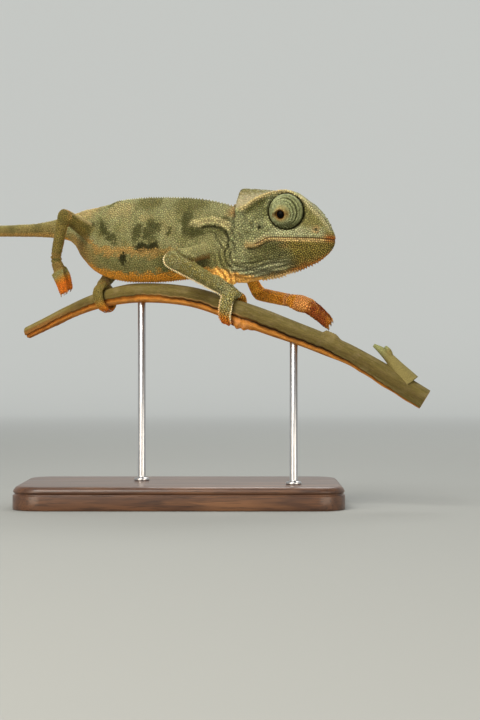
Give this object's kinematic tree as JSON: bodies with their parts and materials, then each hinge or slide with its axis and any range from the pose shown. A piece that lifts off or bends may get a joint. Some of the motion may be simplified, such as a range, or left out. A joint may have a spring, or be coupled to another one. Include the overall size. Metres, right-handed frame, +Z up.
{
  "type": "chameleon model",
  "caption": "Life-size still model of a young flap-necked chameleon striding along a cut twig, held up by slim rods on a flat wooden base.",
  "frame": {"origin": "middle of the stand's underside, on the floor", "axes": "+Z up, +X the way the animal walks and looks, +Y its left side"},
  "size_m": [0.1466, 0.0764, 0.0951],
  "materials": {
    "skin": "matt, finely scaled, sage green with dark green blotches",
    "sole": "matt, finely scaled, orange tan",
    "eyelid": "matt ringed eyelid with a small glossy eye",
    "claw": "smooth horn",
    "bark": "thin grey olive bark, peeled to orange wood underneath",
    "walnut": "satin oiled walnut",
    "steel": "brushed"
  },
  "bodies": {
    "root": {"head": "skin", "lower_jaw": "skin", "eye_right": "eyelid", "eye_left": "eyelid", "neck": "skin", "trunk": "skin", "tail_base": "skin", "tail_middle": "skin", "tail_curl_outer": "skin", "tail_curl_middle": "skin", "tail_curl_inner": "skin", "arm_right_upper": "skin", "arm_right_lower": "skin", "hand_right_palm": "skin", "hand_right_outer": "sole", "hand_right_outer_claw_1": "claw", "hand_right_outer_claw_2": "claw", "hand_right_inner": "sole", "hand_right_inner_claw_1": "claw", "hand_right_inner_claw_2": "claw", "hand_right_inner_claw_3": "claw", "arm_left_upper": "skin", "arm_left_lower": "skin", "hand_left_palm": "skin", "hand_left_outer": "sole", "hand_left_outer_claw_1": "claw", "hand_left_outer_claw_2": "claw", "hand_left_inner": "sole", "hand_left_inner_claw_1": "claw", "hand_left_inner_claw_2": "claw", "hand_left_inner_claw_3": "claw", "leg_right_thigh": "skin", "leg_right_shank": "skin", "foot_right_sole": "skin", "foot_right_outer": "sole", "foot_right_outer_claw_1": "claw", "foot_right_outer_claw_2": "claw", "foot_right_outer_claw_3": "claw", "foot_right_inner": "sole", "foot_right_inner_claw_1": "claw", "foot_right_inner_claw_2": "claw", "leg_left_thigh": "skin", "leg_left_shank": "skin", "foot_left_sole": "skin", "foot_left_outer": "sole", "foot_left_outer_claw_1": "claw", "foot_left_outer_claw_2": "claw", "foot_left_outer_claw_3": "claw", "foot_left_inner": "sole", "foot_left_inner_claw_1": "claw", "foot_left_inner_claw_2": "claw", "perch": "bark", "stand_base": "walnut", "stand_rod_rear": "steel", "stand_rod_front": "steel"}
  },
  "joints": []
}
